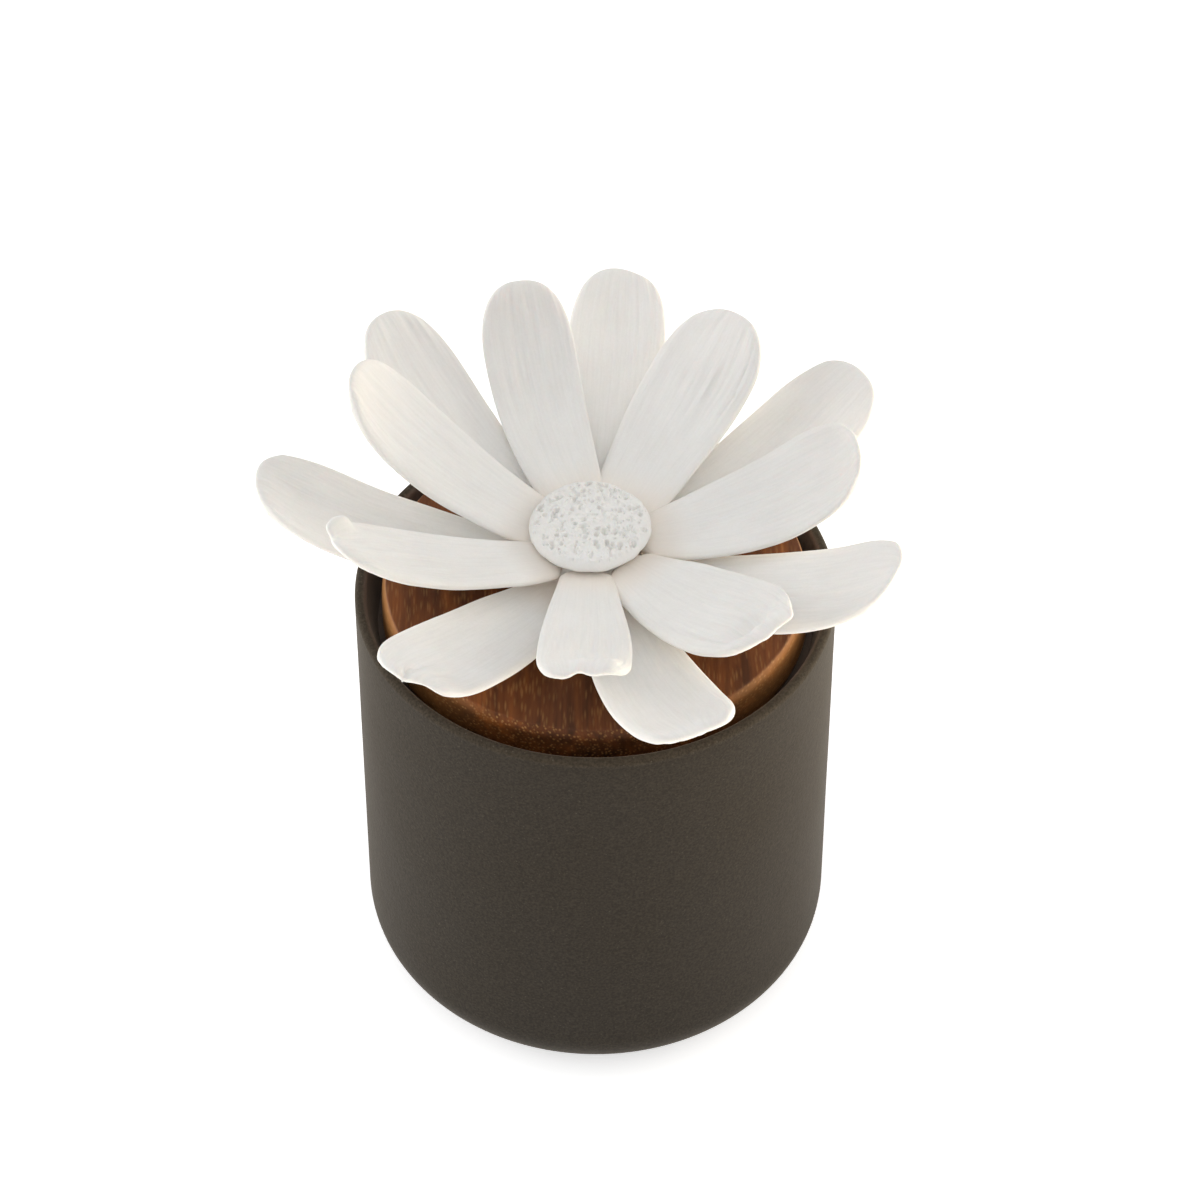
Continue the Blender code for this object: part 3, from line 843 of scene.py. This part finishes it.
def make_petal(key, row, root_height, seed):
    work = HAND_WORK[key]
    width = row[2] * MM / 2
    length = row[1] * MM
    sideways, along, gap, lane = petal_plan(work, length, width)
    centre, across, normal = petal_frame(row, root_height, along)
    field = Noise(seed)
    x = sideways * width + work.get("root", 0) * MM * (1 - smooth_step(along / 0.7))
    flat = np.stack([x / MM, along * length / MM, 0 * x], -1)
    lanes = np.stack([lane * width / MM, along * length / MM, 0 * x], -1)

    lift, swell = petal_bends(work, field, flat, sideways, along, gap)
    middle = centre + across * x[..., None] + normal * lift[..., None]
    inside = np.clip(gap / EDGE_ROLL, 0, 1)
    round_over = np.sqrt(np.clip(1 - (1 - inside) ** 2, 0, 1))
    thick = PETAL_THICKNESS * (1.02 - 0.12 * smooth_step((along - 0.5) / 0.5)) + swell
    half = 0.5 * thick * round_over
    top_relief, low_relief = petal_relief(field, flat, lanes, along)
    top_relief = top_relief * MM * round_over - petal_creases(work, flat, length, width)
    low_relief = low_relief * MM * round_over
    top = middle + normal * (half + top_relief)[..., None]
    low = middle - normal * (half + low_relief)[..., None]

    # The two faces share the points of the outline; the inner points are doubled.
    count = ROWS * COLUMNS
    index = np.arange(count).reshape(ROWS, COLUMNS)
    under = index.copy()
    under[1:-1, 1:-1] = count + np.arange((ROWS - 2) * (COLUMNS - 2)).reshape(ROWS - 2, COLUMNS - 2)
    edge = under == index
    top[edge] = middle[edge]
    points = np.concatenate([top.reshape(-1, 3), low[1:-1, 1:-1].reshape(-1, 3)])
    uv = np.stack([lane * 0.5 + 0.5, along], -1)
    uv = np.concatenate([uv.reshape(-1, 2), uv[1:-1, 1:-1].reshape(-1, 2)])

    def quads(grid, flip):
        corners = [grid[:-1, :-1], grid[:-1, 1:], grid[1:, 1:], grid[1:, :-1]]
        if flip:
            corners.reverse()
        return np.stack([c.ravel() for c in corners], -1).tolist()

    faces = quads(index, False) + quads(under, True)
    petal = add_mesh("clay_petal_" + key, points, faces, CLAY, math.radians(75), uv)
    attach(petal, "flower")
    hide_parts("petal_" + key)


def make_petals():
    whorls = (("upper", UPPER_PETALS, UPPER_ROOT, 617), ("lower", LOWER_PETALS, LOWER_ROOT, 608))
    for whorl, rows, height, first_seed in whorls:
        for i, row in enumerate(rows):
            make_petal("%s_%d" % (whorl, i + 1), row, height, first_seed + i)


def disc_pits(flat):
    """Depth in millimetres of the pits and worm tracks, over flat points also in millimetres."""
    draw = np.random.default_rng(61)
    pits = np.zeros(flat.shape[:2])

    def dig(x, y, wide, deep):
        away = np.hypot(flat[..., 0] - x, flat[..., 1] - y) / wide
        np.maximum(pits, deep * np.exp(-away ** 2.8), out=pits)

    def anywhere(limit):
        away = limit * math.sqrt(draw.uniform(0, 1))
        turn = draw.uniform(0, 2 * math.pi)
        return away * math.cos(turn), away * math.sin(turn)

    for count, limit, widths, depths in (
        (110, 9.7, (0.15, 0.25), (0.25, 0.5)),
        (64, 9.3, (0.26, 0.42), (0.5, 0.9)),
    ):
        for _ in range(count):
            dig(*anywhere(limit), draw.uniform(*widths), draw.uniform(*depths))
    for _ in range(52):
        x, y = anywhere(9.0)
        aim = draw.uniform(0, 2 * math.pi)
        deep = draw.uniform(0.2, 0.4)
        for _ in range(draw.integers(5, 15)):
            dig(x, y, 0.2, deep)
            x += 0.17 * math.cos(aim)
            y += 0.17 * math.sin(aim)
            aim += draw.uniform(-0.9, 0.9)
    return pits


# The rolled side under the disc's dome: how far out from the rim in millimetres, and how far
# down to the base as a share.
DISC_SIDE = (
    (0.10, 0.12), (0.16, 0.30), (0.14, 0.48), (0.02, 0.66),
    (-0.22, 0.82), (-0.6, 0.94), (-1.3, 1.0), (-5, 1.0),
)
DISC_GRID = 231


def make_disc():
    """The flower's centre: a low dome, pitted and wormed all over like a dry sponge."""
    radius = (DISC_HIGH.x - DISC_LOW.x) / 2
    centre = np.array([(DISC_HIGH.x + DISC_LOW.x) / 2, (DISC_HIGH.y + DISC_LOW.y) / 2])
    low, high = DISC_LOW.z, DISC_HIGH.z
    size = DISC_GRID
    grid = np.linspace(-1, 1, size)
    a, b = np.meshgrid(grid, grid, indexing="ij")
    x = a * np.sqrt(1 - b * b / 2)
    y = b * np.sqrt(1 - a * a / 2)
    reach = np.hypot(x, y)
    field = Noise(57)
    flat = np.stack([x * radius / MM, y * radius / MM, 0 * x], -1)
    outline = 0.986 + 0.018 * field.at(flat * 0.35 + 3) + 0.008 * field.at(flat * 1.1 + 7)
    brow = 0.9 * MM * np.clip((reach - 0.86) / 0.14, 0, 1) ** 2.2
    dome = high - 0.15 * MM - 0.5 * MM * reach ** 2 - brow
    inside = smooth_step((0.985 - reach) / 0.06)
    relief = field.layers(flat * 0.7, 2) * 0.11 + field.layers(flat * 1.5 + 9, 3) * 0.15
    front_band = smooth_step((-y - 0.6) / 0.3) * smooth_step((reach - 0.72) / 0.1)
    pits = disc_pits(flat) * (1 - 0.45 * front_band)
    top = np.stack([x * radius * outline + centre[0], y * radius * outline + centre[1],
                    dome + (relief - 1.4 * pits) * MM * inside], -1)

    last = size - 1
    border = [(i, 0) for i in range(last)] + [(last, j) for j in range(last)]
    border += [(i, last) for i in range(last, 0, -1)] + [(0, j) for j in range(last, 0, -1)]
    index = np.arange(size * size).reshape(size, size)
    loops = [np.array([index[i, j] for i, j in border])]
    rim = top.reshape(-1, 3)[loops[0]]
    outward = rim[:, :2] - centre
    outward = outward / np.linalg.norm(outward, axis=1)[:, None]
    points = [top.reshape(-1, 3)]
    start = size * size
    for k, (out, drop) in enumerate(DISC_SIDE):
        ring = rim.copy()
        rough = field.layers(rim / MM * 0.9 + 1.3 * k, 2)[:, None] * 0.07 * MM * (drop < 0.9)
        ring[:, :2] += outward * (out * MM + rough)
        ring[:, 2] += (low - rim[:, 2]) * drop
        points.append(ring)
        loops.append(start + np.arange(len(ring)))
        start += len(ring)
    points.append(np.array([[centre[0], centre[1], low]]))
    grid_faces = np.stack([index[:-1, :-1], index[1:, :-1], index[1:, 1:], index[:-1, 1:]], -1)
    faces = grid_faces.reshape(-1, 4).tolist()
    for upper, lower in zip(loops, loops[1:]):
        faces += np.stack([np.roll(upper, -1), upper, lower, np.roll(lower, -1)], -1).tolist()
    base = loops[-1]
    faces += np.stack([np.roll(base, -1), base, np.full(len(base), start)], -1).tolist()
    disc = add_mesh("clay_disc", np.concatenate(points), faces, CLAY_DISC, math.radians(80))
    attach(disc, "flower")
    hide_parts("flower_disc")


make_pot()
make_lid()
make_seal()
make_bush()
make_wick()
make_hub()
make_disc()
make_petals()


# ---------------------------------------------------------------- stage, light and camera

FLOOR_SIZE = 8.0
LIGHT_AIM = (0, 0, 70 * MM)


def make_floor():
    """A white floor that glows a little, and more and warmer towards its two sides."""
    n = Nodes("studio_floor")
    tone = n.noise(3, detail=2)
    across = n.ease(n.axis("X"), -0.5, 0.5, curve="LINEAR")
    glow = n.ramp(across, [(0.18, (0.98, 0.87, 0.70)), (0.36, 0.43), (0.62, 0.43),
                           (0.80, (2.4, 2.0, 1.4))])
    colour = n.ramp(tone, [(0.3, 0.93), (0.7, 0.95)])
    n.finish(colour, 0.9, Emission_Strength=1.3, Emission_Color=glow)
    bpy.ops.mesh.primitive_plane_add(size=FLOOR_SIZE)
    floor = bpy.context.object
    floor.name = "studio_floor"
    floor.data.materials.append(n.material)


def look_at(thing, aim):
    away = np.array(aim, float) - np.array(thing.location, float)
    thing.rotation_euler = (
        math.atan2(math.hypot(away[0], away[1]), -away[2]), 0, math.atan2(away[1], away[0]) - math.pi / 2
    )


def area_light(name, place, size, power, colour=(1, 1, 1)):
    data = bpy.data.lights.new(name, "AREA")
    data.shape = "RECTANGLE"
    data.size, data.size_y = size
    data.energy = power
    data.color = colour
    lamp = bpy.data.objects.new(name, data)
    bpy.context.scene.collection.objects.link(lamp)
    lamp.location = place
    look_at(lamp, LIGHT_AIM)


TENT_LIGHT = 0.64
OPENING_LIGHT = 0.08


def make_world():
    """A light tent: even from above, behind and both sides, with its dark opening in front."""
    world = bpy.data.worlds.new("light_tent")
    world.use_nodes = True
    tree = world.node_tree
    back = tree.nodes["Background"]
    place = tree.nodes.new("ShaderNodeTexCoord")
    apart = tree.nodes.new("ShaderNodeSeparateXYZ")
    tree.links.new(place.outputs["Generated"], apart.inputs[0])
    front = tree.nodes.new("ShaderNodeMapRange")
    high = tree.nodes.new("ShaderNodeMapRange")
    for node, source, low, top in ((front, "Y", -0.15, -0.75), (high, "Z", 0.60, 0.20)):
        node.interpolation_type = "SMOOTHSTEP"
        node.inputs["From Min"].default_value = low
        node.inputs["From Max"].default_value = top
        tree.links.new(apart.outputs[source], node.inputs["Value"])
    both = tree.nodes.new("ShaderNodeMath")
    both.operation = "MULTIPLY"
    tree.links.new(front.outputs[0], both.inputs[0])
    tree.links.new(high.outputs[0], both.inputs[1])
    level = tree.nodes.new("ShaderNodeMapRange")
    level.inputs["To Min"].default_value = TENT_LIGHT
    level.inputs["To Max"].default_value = OPENING_LIGHT
    tree.links.new(both.outputs[0], level.inputs["Value"])
    tree.links.new(level.outputs[0], back.inputs["Strength"])
    back.inputs["Color"].default_value = (1, 1, 1, 1)
    bpy.context.scene.world = world


CAMERA_RISE = math.radians(45.95)
CAMERA_DISTANCE = 0.7515
CAMERA_AIM = (0.75 * MM, 0, 78.84 * MM)
CAMERA_LENS = 135.35


def make_camera():
    data = bpy.data.cameras.new("camera")
    data.sensor_width = 36
    data.lens = CAMERA_LENS
    data.clip_start = 0.01
    data.clip_end = 20
    camera = bpy.data.objects.new("camera", data)
    bpy.context.scene.collection.objects.link(camera)
    camera.location = (
        CAMERA_AIM[0],
        CAMERA_AIM[1] - CAMERA_DISTANCE * math.cos(CAMERA_RISE),
        CAMERA_AIM[2] + CAMERA_DISTANCE * math.sin(CAMERA_RISE),
    )
    camera.rotation_euler = (math.pi / 2 - CAMERA_RISE, 0, 0)
    bpy.context.scene.camera = camera


make_floor()
make_world()
area_light("left_box", (-0.80, 0.12, 0.22), (0.5, 0.8), 3.0)
area_light("right_box", (0.80, 0.22, 0.22), (0.5, 0.8), 3.5, (1.0, 0.92, 0.80))
area_light("top_box", (0, -0.12, 1.05), (1.3, 1.3), 0.6)
area_light("front_box", (0, -0.75, 0.95), (0.7, 0.5), 1.5)
make_camera()
bpy.context.scene.view_settings.view_transform = "Standard"
